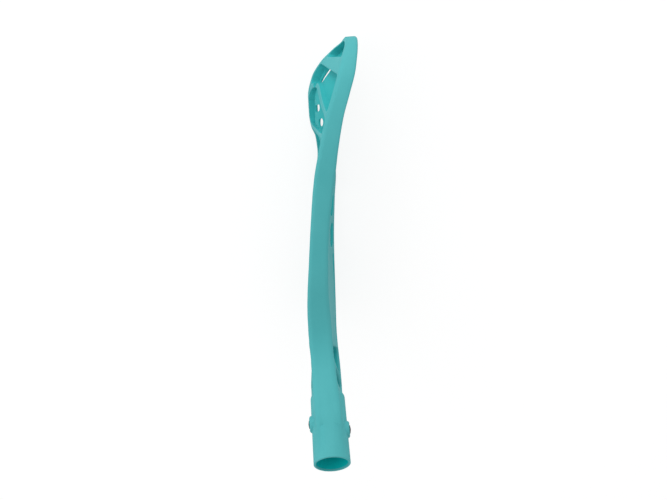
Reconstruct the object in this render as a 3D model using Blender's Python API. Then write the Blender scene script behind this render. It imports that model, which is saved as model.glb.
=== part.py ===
"""Floorball blade: one moulding with a hollow neck, and the two screws that hold a shaft in it.

The blade stands on its sole. The toe points to -X, the neck rises towards +X, and the hollow,
forehand face looks to +Y.
"""
import math

import bmesh
import bpy
from mathutils import Matrix, Vector
from mathutils.geometry import interpolate_bezier, intersect_line_line_2d

MM = 0.001

# Side view of the blade
BLADE_LENGTH = 241.0 * MM
BLADE_HEIGHT = 76.0 * MM
HEEL_SHOULDER_HEIGHT = 72.0 * MM
TOE_TIP_HEIGHT = 34.0 * MM
TOE_TOP_REACH = 76.0 * MM
TOE_SOLE_REACH = 62.0 * MM
TOE_SOLE_LIFT = 1.0 * MM
SHOULDER_X = -75.0 * MM
HEEL_X = -45.0 * MM
# How far the outline's curves keep straight on either side of their points, and the slopes there
NECK_RIM_PULL = 38.0 * MM
SHOULDER_PULLS = (36.0 * MM, 30.0 * MM)
SHOULDER_SLOPE = -0.03
TOE_TOP_PULLS = (30.0 * MM, 46.0 * MM)
TOE_TIP_PULLS = (27.0 * MM, 20.0 * MM)
TOE_SOLE_PULLS = (34.0 * MM, 30.0 * MM)
TOE_SOLE_SLOPE = -0.044
HEEL_PULLS = (40.0 * MM, 40.0 * MM)
NECK_HEEL_PULL = 34.0 * MM

# Neck: its axis starts at the foot and leans back from the sole's line
NECK_FOOT = Vector((0.0, 0.0, 40.0 * MM))
NECK_ANGLE = math.radians(52.0)
NECK_LENGTH = 112.0 * MM
NECK_RIM_SIDE = 13.4 * MM
NECK_HEEL_SIDE = 11.6 * MM
NECK_BLEND_BEFORE_FOOT = 25.0 * MM
RIM_STRAIGHT_FROM = 42.0 * MM
HEEL_STRAIGHT_FROM = 30.0 * MM
STRIP_END_FROM_MOUTH = 28.5 * MM
HEEL_STRIP_END_FROM_MOUTH = 52.0 * MM
STRIP_FADE_LENGTH = 6.0 * MM
STRIP_FADE_DROP = 4.6 * MM

# Socket
MOUTH_OUTER_RADIUS = 14.5 * MM
FOOT_OUTER_RADIUS = 13.5 * MM
MOUTH_BORE_RADIUS = 12.4 * MM
FLOOR_BORE_RADIUS = 11.9 * MM
SOCKET_DEPTH = 58.0 * MM
FLOOR_THICKNESS = 3.0 * MM
MOUTH_ROUNDING = 0.5 * MM
FOOT_ROUNDING = 6.0 * MM
CROWN_CUT_LIFT = 0.02 * MM
CROWN_CUT_END_FROM_MOUTH = 31.0 * MM
CROWN_CUT_FADE = 4.5 * MM

# Section of the moulding before it is hollowed and hooked
RIM_THICKNESS = 3.3 * MM
RIM_ROUNDING = 2.6 * MM
RIB_THICKNESS = 3.1 * MM
WEB_THICKNESS = 1.6 * MM
FLAT_DEPTH = 14.0 * MM
NECK_POCKET_DEPTH = 5.4 * MM
POCKET_CORNER = 4.0 * MM
# The rib behind the toe is an arch that bends down into the sole's rim. These are its two sides.
ARCH_TOE_SIDE = ((-199, 0), (-200.6, 9), (-203.2, 15.5), (-205.2, 22.5), (-205.2, 29.5), (-202.6, 37),
                 (-198.8, 46), (-195, 58), (-191.6, 74), (-190.8, 82))
ARCH_HEEL_SIDE = ((-186.4, 82), (-187.6, 73), (-191.2, 58), (-194.8, 46), (-198.4, 36), (-201.2, 29),
                  (-201.9, 23.5), (-200.6, 18), (-197, 12), (-191, 7.5), (-184, 2.5))

# The tables below are in squares of a drawing grid, which has these many squares to the real sizes
SQUARES_ALONG_BLADE = 241
SQUARES_UP_BLADE = 76
SQUARES_ALONG_NECK = 112
SQUARES_ACROSS_HOOK = 44.5
HOOK_REACH = 44.5 * MM
# Plan of the hooked blade, as (X, Y): the forehand and backhand edges of its top rim and of its sole
TOP_FRONT = ((-241, 44.5), (-224, 41.9), (-206, 35.9), (-189, 29.9), (-166, 24.3), (-150, 21.0), (-140, 18.9),
             (-107, 12.9), (-74, 9.2), (-35, 7.2), (-5, 7.4), (10, 7.7), (22, 8.5), (32, 9.8), (47, 10.3))
TOP_BACK = ((-241, 35.6), (-234, 32.4), (-224, 28.8), (-206, 21.9), (-189, 15.4), (-166, 8.6), (-143, 2.8),
            (-107, -2.6), (-74, -6.6), (-44, -10.2), (-25, -11.3), (-5, -11.4), (8, -11.0), (28, -10.9),
            (36, -10.6), (47, -10.0))
SOLE_FRONT = ((-241, 44.5), (-229, 34.8), (-218, 23.8), (-206, 16.2), (-190, 10.5), (-175, 10.3),
              (-167, 11.4), (-157, 16.6), (-142, 21.0), (-128, 21.2), (-105, 18.7), (-67, 15.3), (-30, 13.5),
              (30, 12.3), (44, 12.0), (56, 10.4))
SOLE_BACK = ((-241, 33.2), (-236, 31.8), (-229, 24.6), (-218, 13.8), (-206, 6.4), (-190, 2.4), (-175, 2.2),
             (-165, 3.4), (-157, 6.2), (-144, 7.0), (-112, 5.6), (-67, 0.4), (-30, -6.4), (0, -10.8),
             (20, -11.4), (32, -12.9), (44, -13.2), (56, -12.0))
# How far the middle of the face lies behind the line between its two edges
BOWL = ((-241, 0.0), (-217, 4.0), (-195, 7.4), (-170, 7.4), (-150, 6.0), (-110, 4.0), (-60, 2.5), (0, 0.0))

# The hollow is deepest half way up, where this makes the share of BOWL one
BOWL_PEAK = 4.0

# Ribs from the sole to the top rim, as (X at the sole, X at the blade's full height)
RIBS = ((-218.6, -221.2), (-204, -190), (-168, -176), (-142, -130), (-115, -122), (-90, -80), (-63, -66),
        (-38, -40), (-16.5, -12.5))
# The first rib widens upwards, so its toe side has a slope of its own
TOE_RIB_TOE_SIDE = (-218.2, -233.2)
# Ribs across the neck, by their distance from the mouth and their lean
HEEL_RIB_FROM_MOUTH = 103.0 * MM
NECK_RIB_FROM_MOUTH = 76.0 * MM
POCKETS_END_FROM_MOUTH = 62.0 * MM
NECK_RIB_LEAN = math.radians(24.0)

# Slots through the web: (X, Z, length, width, slope in degrees)
SLOTS = ((-209, 21.5, 18, 7.0, -22), (-186.5, 29, 20, 5.2, 106), (-179.0, 43.8, 11, 5.9, 104),
         (-155, 11, 17, 6.0, 0), (-128, 11, 17, 7.0, 0), (-102.5, 13, 19, 11.0, 0), (-76.5, 13, 20, 11.0, 0),
         (-157, 62, 18, 6.0, 0), (-101, 60, 20, 6.0, 0), (-74, 58, 8, 5.0, 0))
# The long groove beside the sole across the heel's flat panel
GROOVE_START_X = -59.0
GROOVE_OFF_RIM = 8.0 * MM
GROOVE_WIDTH = 3.4 * MM
GROOVE_DEPTH = 1.4 * MM

# Fixing screws and their bosses
FRONT_SCREW_FROM_MOUTH = 28.0 * MM
BACK_SCREW_FROM_MOUTH = 34.5 * MM
BOSS_RADIUS = 6.8 * MM
BOSS_FACE = 15.5 * MM
BOSS_ROUNDING = 0.7 * MM
BOSS_FOOT = 10.5 * MM
BOSS_FOOT_RADIUS = 8.6 * MM
HEAD_RADIUS = 3.3 * MM
HEAD_HEIGHT = 2.0 * MM
HEAD_DOME = 0.5 * MM
HEAD_CHAMFER = 0.3 * MM
SHANK_OVERLAP = 0.3 * MM
SHANK_INSET = 0.12 * MM
THREAD_RADIUS = 1.75 * MM
CORE_RADIUS = 1.25 * MM
THREAD_PITCH = 1.35 * MM
THREAD_LENGTH = 10.8 * MM
POINT_LENGTH = 2.0 * MM
POINT_BLUNTNESS = 0.12
THREAD_STEEPNESS = 3.2
CROSS_WIDTH = 0.9 * MM
CROSS_SPAN = 3.8 * MM
CROSS_DEPTH = 1.3 * MM
CROSS_TAPER = 0.55
SEAT_GAP = 0.15 * MM
HEAD_CLEARANCE = 0.35 * MM
THREAD_CLEARANCE = 0.2 * MM
HEAD_STAND = 0.9 * MM

# Fineness of the faceted solids
CURVE_STEPS = 15
ROUNDING_STEPS = 3
CORNER_STEPS = 4
SLOT_END_STEPS = 6
SHARP_CORNER = math.radians(28.0)
SHARED_EDGE = 0.48
WHOLE_EDGE = 0.95
MERGE_DISTANCE = 0.01 * MM
BEND_STEP = 6.0 * MM
BEND_LEVELS = 6
ROUND_STEPS = 56
FOOT_STEPS = 5
SCREW_STEPS = 20
THREAD_ROWS = 6

OVERCUT = 6.0 * MM


def material(name, colour, roughness, metallic=0.0):
    """A Principled material with one colour."""
    made = bpy.data.materials.new(name)
    made.use_nodes = True
    shader = made.node_tree.nodes["Principled BSDF"]
    shader.inputs["Base Color"].default_value = (*colour, 1.0)
    shader.inputs["Roughness"].default_value = roughness
    shader.inputs["Metallic"].default_value = metallic
    return made


def object_from(mesh_data, name):
    """Put a bmesh into a new object in the scene."""
    bmesh.ops.recalc_face_normals(mesh_data, faces=mesh_data.faces)
    mesh = bpy.data.meshes.new(name)
    mesh_data.to_mesh(mesh)
    mesh_data.free()
    made = bpy.data.objects.new(name, mesh)
    bpy.context.scene.collection.objects.link(made)
    return made


def boolean(target, operand, operation):
    """Apply one exact Boolean and remove its operand."""
    modifier = target.modifiers.new(operation.title(), "BOOLEAN")
    modifier.operation = operation
    modifier.solver = "EXACT"
    modifier.object = operand
    depsgraph = bpy.context.evaluated_depsgraph_get()
    result = bpy.data.meshes.new_from_object(target.evaluated_get(depsgraph))
    target.modifiers.clear()
    old = target.data
    target.data = result
    bpy.data.meshes.remove(old)
    bpy.data.objects.remove(operand)


def drawn_to_x(x):
    """The real X of a place on the drawing of the blade."""
    return x * BLADE_LENGTH / SQUARES_ALONG_BLADE


def drawn_to_z(z):
    """The real height of a place on the drawing of the blade."""
    return z * BLADE_HEIGHT / SQUARES_UP_BLADE


def stations(points, x):
    """A smooth curve through the drawing's (X, Y) stations, monotone between them."""
    across = HOOK_REACH / SQUARES_ACROSS_HOOK
    place = x * SQUARES_ALONG_BLADE / BLADE_LENGTH if x < 0.0 else x * SQUARES_ALONG_NECK / NECK_LENGTH
    if place <= points[0][0]:
        return points[0][1] * across
    if place >= points[-1][0]:
        return points[-1][1] * across
    steps = [(b[0] - a[0], (b[1] - a[1]) / (b[0] - a[0])) for a, b in zip(points, points[1:])]
    index = next(i for i, point in enumerate(points[1:]) if place <= point[0])

    def slope(i):
        if i == 0 or i == len(points) - 1:
            return 0.0
        before, after = steps[i - 1][1], steps[i][1]
        if before * after <= 0.0:
            return 0.0
        return 2.0 * before * after / (before + after)

    width = steps[index][0]
    t = (place - points[index][0]) / width
    low, high = points[index][1], points[index + 1][1]
    value = ((1 + 2 * t) * (1 - t) ** 2 * low + t * (1 - t) ** 2 * width * slope(index)
             + t * t * (3 - 2 * t) * high + t * t * (t - 1) * width * slope(index + 1))
    return value * across


def smooth_step(low, high, value):
    """0 below low, 1 above high and a soft rise between them."""
    t = min(max((value - low) / (high - low), 0.0), 1.0)
    return t * t * (3.0 - 2.0 * t)


NECK_AXIS = Vector((math.cos(NECK_ANGLE), 0.0, math.sin(NECK_ANGLE)))
NECK_RIM_NORMAL = Vector((-NECK_AXIS.z, 0.0, NECK_AXIS.x))


def neck_point(from_mouth, off_axis=0.0, sideways=0.0):
    """A point by its distance from the mouth's plane, towards the top rim's side, and along Y."""
    along = NECK_LENGTH - from_mouth
    return NECK_FOOT + along * NECK_AXIS + off_axis * NECK_RIM_NORMAL + Vector((0.0, sideways, 0.0))


def side_view(x, z):
    """A point or a direction in the plane of the side view."""
    return Vector((x, 0.0, z))


def bezier(start, leave, arrive, end):
    """Points of one Bezier stretch, without its first point."""
    return interpolate_bezier(start, start + leave, end + arrive, end, CURVE_STEPS)[1:]


def outline():
    """The rim's outer line in the XZ plane, from the neck along the top, round the toe and back."""
    rim_top = neck_point(STRIP_END_FROM_MOUTH, NECK_RIM_SIDE)
    rim_bend = neck_point(NECK_LENGTH - RIM_STRAIGHT_FROM, NECK_RIM_SIDE)
    shoulder = side_view(SHOULDER_X, HEEL_SHOULDER_HEIGHT)
    toe_top = side_view(TOE_TOP_REACH - BLADE_LENGTH, BLADE_HEIGHT)
    toe_tip = side_view(-BLADE_LENGTH, TOE_TIP_HEIGHT)
    toe_sole = side_view(TOE_SOLE_REACH - BLADE_LENGTH, TOE_SOLE_LIFT)
    heel = side_view(HEEL_X, 0.0)
    heel_bend = neck_point(NECK_LENGTH - HEEL_STRAIGHT_FROM, -NECK_HEEL_SIDE)
    heel_top = neck_point(HEEL_STRIP_END_FROM_MOUTH, -NECK_HEEL_SIDE)
    rim_fade = neck_point(STRIP_END_FROM_MOUTH - STRIP_FADE_LENGTH, NECK_RIM_SIDE - STRIP_FADE_DROP)
    heel_fade = neck_point(HEEL_STRIP_END_FROM_MOUTH - STRIP_FADE_LENGTH, STRIP_FADE_DROP - NECK_HEEL_SIDE)
    points = [rim_fade, rim_top, rim_top.lerp(rim_bend, 0.33), rim_top.lerp(rim_bend, 0.67), rim_bend]
    to_heel = side_view(1.0, 0.0)
    up = side_view(0.0, 1.0)
    at_shoulder = side_view(1.0, SHOULDER_SLOPE)
    at_toe_sole = side_view(1.0, TOE_SOLE_SLOPE)
    points += bezier(rim_bend, -NECK_RIM_PULL * NECK_AXIS, SHOULDER_PULLS[0] * at_shoulder, shoulder)
    points += bezier(shoulder, -SHOULDER_PULLS[1] * at_shoulder, TOE_TOP_PULLS[0] * to_heel, toe_top)
    points += bezier(toe_top, -TOE_TOP_PULLS[1] * to_heel, TOE_TIP_PULLS[0] * up, toe_tip)
    points += bezier(toe_tip, -TOE_TIP_PULLS[1] * up, -TOE_SOLE_PULLS[0] * at_toe_sole, toe_sole)
    points += bezier(toe_sole, TOE_SOLE_PULLS[1] * at_toe_sole, -HEEL_PULLS[0] * to_heel, heel)
    points += bezier(heel, HEEL_PULLS[1] * to_heel, -NECK_HEEL_PULL * NECK_AXIS, heel_bend)
    points += [heel_bend.lerp(heel_top, 0.5), heel_top, heel_fade]
    points += [neck_point(STRIP_END_FROM_MOUTH - STRIP_FADE_LENGTH, 0.0)]
    return points


BLADE_OUTLINE = outline()


def inset(polygon, distance):
    """A closed outline, moved inwards by the same distance everywhere."""
    moved = []
    for index, point in enumerate(polygon):
        into = (point - polygon[index - 1]).normalized()
        out = (polygon[(index + 1) % len(polygon)] - point).normalized()
        normal_in = Vector((-into.z, 0.0, into.x))
        normal_out = Vector((-out.z, 0.0, out.x))
        moved.append(point + distance * (normal_in + normal_out) / (1.0 + normal_in.dot(normal_out)))
    return moved


def clipped(polygon, point, normal):
    """The part of a polygon on the side of a line that the normal points to."""
    kept = []
    for index, start in enumerate(polygon):
        end = polygon[(index + 1) % len(polygon)]
        start_side = (start - point).dot(normal)
        end_side = (end - point).dot(normal)
        if start_side >= 0.0:
            kept.append(start)
        if start_side * end_side < 0.0:
            kept.append(start.lerp(end, start_side / (start_side - end_side)))
    return kept


def rounded(polygon, radius):
    """A polygon with its sharp corners replaced by arcs, and with no points crowded beside them."""
    count = len(polygon)

    def turn(index):
        into = (polygon[index] - polygon[index - 1]).normalized()
        out = (polygon[(index + 1) % count] - polygon[index]).normalized()
        return math.acos(max(-1.0, min(1.0, into.dot(out))))

    corners = [index for index in range(count) if turn(index) > SHARP_CORNER]
    reach = 1.35 * radius
    spaced = []
    for index, point in enumerate(polygon):
        near = any((point - polygon[corner]).length < reach for corner in corners if corner != index)
        if index in corners or not near:
            spaced.append((point, index in corners))
    result = []
    for index, (point, is_corner) in enumerate(spaced):
        if not is_corner:
            result.append(point)
            continue
        before, before_is_corner = spaced[index - 1]
        after, after_is_corner = spaced[(index + 1) % len(spaced)]
        into = point - before
        out = after - point
        limit = min(into.length * (SHARED_EDGE if before_is_corner else WHOLE_EDGE),
                    out.length * (SHARED_EDGE if after_is_corner else WHOLE_EDGE))
        reach_here = min(radius * math.tan(into.angle(out) / 2.0), limit)
        start = point - reach_here * into.normalized()
        end = point + reach_here * out.normalized()
        for step in range(CORNER_STEPS + 1):
            t = step / CORNER_STEPS
            result.append((1 - t) ** 2 * start + 2 * t * (1 - t) * point + t * t * end)
    return result


def add_prism(mesh_data, polygon, y_low, y_high):
    """Add a closed prism over a polygon in the XZ plane."""
    low = [mesh_data.verts.new((p.x, y_low, p.z)) for p in polygon]
    high = [mesh_data.verts.new((p.x, y_high, p.z)) for p in polygon]
    mesh_data.faces.new(low)
    mesh_data.faces.new(high)
    for index in range(len(polygon)):
        after = (index + 1) % len(polygon)
        mesh_data.faces.new((low[index], low[after], high[after], high[index]))


def rib_line(sole_x, top_x):
    """A rib's middle line: a point on it and the direction across it, towards the heel."""
    foot = side_view(drawn_to_x(sole_x), 0.0)
    head = side_view(drawn_to_x(top_x), BLADE_HEIGHT)
    run = (head - foot).normalized()
    return foot, Vector((run.z, 0.0, -run.x))


def neck_rib_line(from_mouth, lean):
    """The same for a rib across the neck."""
    across = Matrix.Rotation(lean, 3, "Y") @ NECK_AXIS
    return neck_point(from_mouth), across


def along_arch(points):
    """One side of the arched rib, with its corners eased."""
    line = [side_view(drawn_to_x(x), drawn_to_z(z)) for x, z in points]
    finer = [line[0]]
    for start, end in zip(line, line[1:]):
        finer += [start.lerp(end, 0.25), start.lerp(end, 0.75)]
    return finer + [line[-1]]


def cut_along(polygon, line):
    """The part of an outline to the left of a curve that enters it and leaves it again."""
    crossings = []
    for place, (start, end) in enumerate(zip(line, line[1:])):
        for index, corner in enumerate(polygon):
            after = polygon[(index + 1) % len(polygon)]
            met = intersect_line_line_2d(start.xz, end.xz, corner.xz, after.xz)
            if met:
                crossings.append((place, index, side_view(*met)))
    (enters, first_edge, first), (leaves, last_edge, last) = crossings[0], crossings[-1]
    around = [polygon[(last_edge + 1 + step) % len(polygon)]
              for step in range((first_edge - last_edge) % len(polygon))]
    return [first] + line[enters + 1:leaves + 1] + [last] + around


def bays(field, lines):
    """The pockets between neighbouring ribs, from the toe to the neck. The second rib is the arch."""
    pockets = []
    half = RIB_THICKNESS / 2.0
    for index, (point, across) in enumerate(lines):
        if index == 0:
            point, across = rib_line(*TOE_RIB_TOE_SIDE)
        if index == 1:
            pocket = cut_along(field, along_arch(ARCH_TOE_SIDE))
        else:
            pocket = clipped(field, point - half * across, -across)
        if index == 2:
            pocket = cut_along(pocket, along_arch(ARCH_HEEL_SIDE))
        elif index > 0:
            before, before_across = lines[index - 1]
            pocket = clipped(pocket, before + half * before_across, before_across)
        pockets.append(rounded(pocket, POCKET_CORNER))
    return pockets


def stadium(x, z, length, width, slope):
    """A slot's outline: a straight slot with round ends."""
    points = []
    reach = (length - width) / 2.0
    for end in (1.0, -1.0):
        for step in range(SLOT_END_STEPS + 1):
            angle = math.pi * (step / SLOT_END_STEPS - 0.5)
            around = side_view(width / 2.0 * math.cos(angle), width / 2.0 * math.sin(angle))
            points.append(end * (side_view(reach, 0.0) + around))
    turned_slot = Matrix.Rotation(-math.radians(slope), 3, "Y")
    return [side_view(x, z) + turned_slot @ point for point in points]


def neck_weight(point):
    """0 on the blade, 1 on the neck."""
    return smooth_step(-NECK_BLEND_BEFORE_FOOT, HEEL_STRAIGHT_FROM, (point - NECK_FOOT).dot(NECK_AXIS))


def rim_heights(x):
    """The heights of the sole and of the top rim at one X, as far as the heel's shoulder."""
    crossings = []
    for start, end in zip(BLADE_OUTLINE, BLADE_OUTLINE[1:]):
        if (start.x - x) * (end.x - x) < 0.0:
            crossings.append(start.lerp(end, (x - start.x) / (end.x - start.x)).z)
    if x > SHOULDER_X:
        return 0.0, HEEL_SHOULDER_HEIGHT
    if len(crossings) < 2:
        return TOE_TIP_HEIGHT, TOE_TIP_HEIGHT + MM
    return min(crossings), max(crossings)


def rim_share(point):
    """0 along the sole and the heel side of the neck, 1 along the top rim and its strip on the neck."""
    low, high = rim_heights(point.x)
    on_blade = min(max((point.z - low) / (high - low), 0.0), 1.0)
    off_axis = (point - NECK_FOOT).dot(NECK_RIM_NORMAL)
    on_neck = min(max((off_axis + NECK_HEEL_SIDE) / (NECK_HEEL_SIDE + NECK_RIM_SIDE), 0.0), 1.0)
    return on_blade + (on_neck - on_blade) * neck_weight(point)


def hooked(point):
    """Where a point of the flat moulding lies once the face is hollowed and the toe is hooked."""
    share = rim_share(point)
    front = stations(SOLE_FRONT, point.x) * (1 - share) + stations(TOP_FRONT, point.x) * share
    back = stations(SOLE_BACK, point.x) * (1 - share) + stations(TOP_BACK, point.x) * share
    bowl = BOWL_PEAK * share * (1 - share) * stations(BOWL, point.x)
    depth = front - bowl - back
    into = FLAT_DEPTH / 2.0 - point.y
    even = into * depth / FLAT_DEPTH
    behind = into
    if into > WEB_THICKNESS:
        stretch = (depth - WEB_THICKNESS) / (FLAT_DEPTH - WEB_THICKNESS)
        behind = WEB_THICKNESS + (into - WEB_THICKNESS) * stretch
    behind += (even - behind) * neck_weight(point)
    return Vector((point.x, front - bowl - behind, point.z))


def flat_plate():
    """The rim's outline as a solid plate with rounded edges."""
    line = BLADE_OUTLINE
    face = FLAT_DEPTH / 2.0
    layers = []
    for step in range(ROUNDING_STEPS + 1):
        angle = math.pi / 2.0 * step / ROUNDING_STEPS
        layers.append((RIM_ROUNDING * (1.0 - math.sin(angle)), face - RIM_ROUNDING * (1.0 - math.cos(angle))))
    layers += [(distance, -depth) for distance, depth in reversed(layers)]
    plate = bmesh.new()
    rings = []
    for distance, depth in layers:
        rings.append([plate.verts.new((p.x, depth, p.z)) for p in inset(line, distance)])
    plate.faces.new(rings[0])
    plate.faces.new(rings[-1])
    for upper, lower in zip(rings, rings[1:]):
        for index in range(len(line)):
            after = (index + 1) % len(line)
            plate.faces.new((upper[index], upper[after], lower[after], lower[index]))
    return object_from(plate, "blade_moulding")


def sole_line(start_x, off_rim):
    """A line beside the sole and round the heel, inside the rim."""
    line = inset(BLADE_OUTLINE, off_rim)
    half = len(line) // 2
    return [point for point in line[half:] if point.x > start_x and point.z < NECK_FOOT.z]


def band(points, width):
    """A closed strip of an even width along a line."""
    left = []
    right = []
    for index, point in enumerate(points):
        run = (points[min(index + 1, len(points) - 1)] - points[max(index - 1, 0)]).normalized()
        across = width / 2.0 * Vector((-run.z, 0.0, run.x))
        left.append(point + across)
        right.append(point - across)
    return left + right[::-1]


def cut_pockets(plate):
    """Cut the pockets and slots: from the back on the blade, from both sides on the neck."""
    field = inset(BLADE_OUTLINE, RIM_THICKNESS)
    face = FLAT_DEPTH / 2.0
    blade_ribs = [rib_line(*rib) for rib in RIBS]
    neck_ribs = [neck_rib_line(HEEL_RIB_FROM_MOUTH, NECK_RIB_LEAN),
                 neck_rib_line(NECK_RIB_FROM_MOUTH, -NECK_RIB_LEAN),
                 neck_rib_line(POCKETS_END_FROM_MOUTH, 0.0)]
    pockets = bays(field, blade_ribs + neck_ribs)
    on_blade = len(blade_ribs) + 1
    cutter = bmesh.new()
    for pocket in pockets[:on_blade]:
        add_prism(cutter, pocket, -face - OVERCUT, face - WEB_THICKNESS)
    for pocket in pockets[on_blade:]:
        add_prism(cutter, pocket, -face - OVERCUT, -face + NECK_POCKET_DEPTH)
        add_prism(cutter, pocket, face - NECK_POCKET_DEPTH, face + OVERCUT)
    boolean(plate, object_from(cutter, "pocket_cutter"), "DIFFERENCE")
    slots = bmesh.new()
    for x, z, length, width, slope in SLOTS:
        slot = stadium(drawn_to_x(x), drawn_to_z(z), drawn_to_x(length), drawn_to_z(width), slope)
        add_prism(slots, slot, -face - OVERCUT, face + OVERCUT)
    groove = band(sole_line(drawn_to_x(GROOVE_START_X), GROOVE_OFF_RIM), GROOVE_WIDTH)
    add_prism(slots, groove, face - GROOVE_DEPTH, face + OVERCUT)
    boolean(plate, object_from(slots, "slot_cutter"), "DIFFERENCE")


def bend_plate(plate):
    """Divide the flat plate finely enough, then hollow its face and hook its toe."""
    work = bmesh.new()
    work.from_mesh(plate.data)
    cuts = [(Vector((-BLADE_LENGTH + BEND_STEP * step, 0, 0)), Vector((1, 0, 0)))
            for step in range(1, int((BLADE_LENGTH + NECK_LENGTH / 3) / BEND_STEP))]
    cuts += [(Vector((0, 0, BLADE_HEIGHT * level / BEND_LEVELS)), Vector((0, 0, 1)))
             for level in range(1, BEND_LEVELS)]
    for point, normal in cuts:
        geometry = work.verts[:] + work.edges[:] + work.faces[:]
        bmesh.ops.bisect_plane(work, geom=geometry, dist=0.01 * MM, plane_co=point, plane_no=normal)
    bmesh.ops.remove_doubles(work, verts=work.verts, dist=0.02 * MM)
    bmesh.ops.triangulate(work, faces=work.faces)
    for vertex in work.verts:
        vertex.co = hooked(vertex.co)
    bmesh.ops.recalc_face_normals(work, faces=work.faces)
    work.to_mesh(plate.data)
    work.free()


def turned(name, profile, steps):
    """A closed solid of revolution about Z from (radius, height) points; its ends lie on the axis."""
    work = bmesh.new()
    chain = [work.verts.new((radius, 0.0, height)) for radius, height in profile]
    edges = [work.edges.new(pair) for pair in zip(chain, chain[1:])]
    bmesh.ops.spin(work, geom=chain + edges, cent=(0, 0, 0), axis=(0, 0, 1), angle=2 * math.pi,
                   steps=steps, use_merge=True)
    bmesh.ops.remove_doubles(work, verts=work.verts, dist=0.01 * MM)
    return object_from(work, name)


def place(item, matrix):
    """Move a mesh for good, so that the object itself stays at the origin."""
    item.data.transform(matrix)
    return item


def neck_matrix():
    """From a frame with Z along the neck, its origin in the mouth's plane, to the blade's frame."""
    columns = Matrix((NECK_RIM_NORMAL, Vector((0, 1, 0)), NECK_AXIS)).transposed()
    if columns.determinant() < 0:
        columns = Matrix((NECK_RIM_NORMAL, Vector((0, -1, 0)), NECK_AXIS)).transposed()
    return Matrix.Translation(neck_point(0.0)) @ columns.to_4x4()


def neck_tube():
    """The socket's outside, a slim cone with a rounded foot."""
    foot = -SOCKET_DEPTH - FLOOR_THICKNESS
    profile = [(0.0, foot)]
    for step in range(FOOT_STEPS + 1):
        angle = math.pi / 2.0 * step / FOOT_STEPS
        profile.append((FOOT_OUTER_RADIUS - FOOT_ROUNDING + FOOT_ROUNDING * math.sin(angle),
                        foot + FOOT_ROUNDING - FOOT_ROUNDING * math.cos(angle)))
    profile += [(MOUTH_OUTER_RADIUS, -MOUTH_ROUNDING), (MOUTH_OUTER_RADIUS - MOUTH_ROUNDING, 0.0), (0.0, 0.0)]
    return place(turned("neck_tube", profile, ROUND_STEPS), neck_matrix())


def crown_cutter():
    """Takes the tube's crown off flush with the rim's strip, with a sloping end."""
    floor = NECK_RIM_SIDE + CROWN_CUT_LIFT
    high = floor + OVERCUT
    start = CROWN_CUT_END_FROM_MOUTH
    end = SOCKET_DEPTH + OVERCUT
    width = MOUTH_OUTER_RADIUS
    work = bmesh.new()
    section = ((start, floor), (start - CROWN_CUT_FADE, MOUTH_OUTER_RADIUS), (start - CROWN_CUT_FADE, high),
               (end, high), (end, floor))
    sides = []
    for side in (-width, width):
        sides.append([work.verts.new(neck_point(away, off, side)) for away, off in section])
    work.faces.new(sides[0])
    work.faces.new(sides[1])
    for index in range(len(section)):
        after = (index + 1) % len(section)
        work.faces.new((sides[0][index], sides[0][after], sides[1][after], sides[1][index]))
    return object_from(work, "crown_cutter")


def bore_cutter():
    profile = [(0.0, -SOCKET_DEPTH), (FLOOR_BORE_RADIUS, -SOCKET_DEPTH), (MOUTH_BORE_RADIUS, -MOUTH_ROUNDING),
               (MOUTH_BORE_RADIUS + MOUTH_ROUNDING, 0.0),
               (MOUTH_BORE_RADIUS + MOUTH_ROUNDING, OVERCUT), (0.0, OVERCUT)]
    return place(turned("bore_cutter", profile, ROUND_STEPS), neck_matrix())


def screw_matrix(side):
    """From a frame with Z along the screw, pointing out of the boss, to the blade's frame."""
    from_mouth = FRONT_SCREW_FROM_MOUTH if side > 0 else BACK_SCREW_FROM_MOUTH
    turn = Matrix.Rotation(-side * math.pi / 2.0, 4, "X")
    lean = Matrix.Rotation(math.pi / 2.0 - NECK_ANGLE, 4, "Y")
    return Matrix.Translation(neck_point(from_mouth)) @ lean @ turn


def boss(side):
    """A round pad with sloping sides on the side of the neck."""
    profile = [(0.0, BOSS_FOOT), (BOSS_FOOT_RADIUS, BOSS_FOOT), (BOSS_RADIUS, BOSS_FACE - BOSS_ROUNDING),
               (BOSS_RADIUS - BOSS_ROUNDING, BOSS_FACE), (0.0, BOSS_FACE)]
    return place(turned("boss", profile, ROUND_STEPS // 2), screw_matrix(side))


def screw_hole_cutter(side):
    """The head's counterbore and the thread's hole."""
    seat = head_seat() - SEAT_GAP
    profile = [(0.0, 0.0), (THREAD_RADIUS + THREAD_CLEARANCE, 0.0), (THREAD_RADIUS + THREAD_CLEARANCE, seat),
               (HEAD_RADIUS + HEAD_CLEARANCE, seat), (HEAD_RADIUS + HEAD_CLEARANCE, BOSS_FACE + OVERCUT),
               (0.0, BOSS_FACE + OVERCUT)]
    return place(turned("screw_hole_cutter", profile, ROUND_STEPS // 2), screw_matrix(side))


def head_seat():
    """Where the underside of a screw's head lies, measured from the neck's axis."""
    return BOSS_FACE + HEAD_STAND - HEAD_HEIGHT


def blade_moulding():
    """The whole moulding: plate, neck, bosses, bore and screw holes."""
    moulding = flat_plate()
    cut_pockets(moulding)
    bend_plate(moulding)
    boolean(moulding, neck_tube(), "UNION")
    boolean(moulding, crown_cutter(), "DIFFERENCE")
    for side in (1, -1):
        boolean(moulding, boss(side), "UNION")
    boolean(moulding, bore_cutter(), "DIFFERENCE")
    for side in (1, -1):
        boolean(moulding, screw_hole_cutter(side), "DIFFERENCE")
    finish(moulding, material("turquoise_plastic", (0.115, 0.46, 0.475), 0.42))
    return moulding


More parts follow.
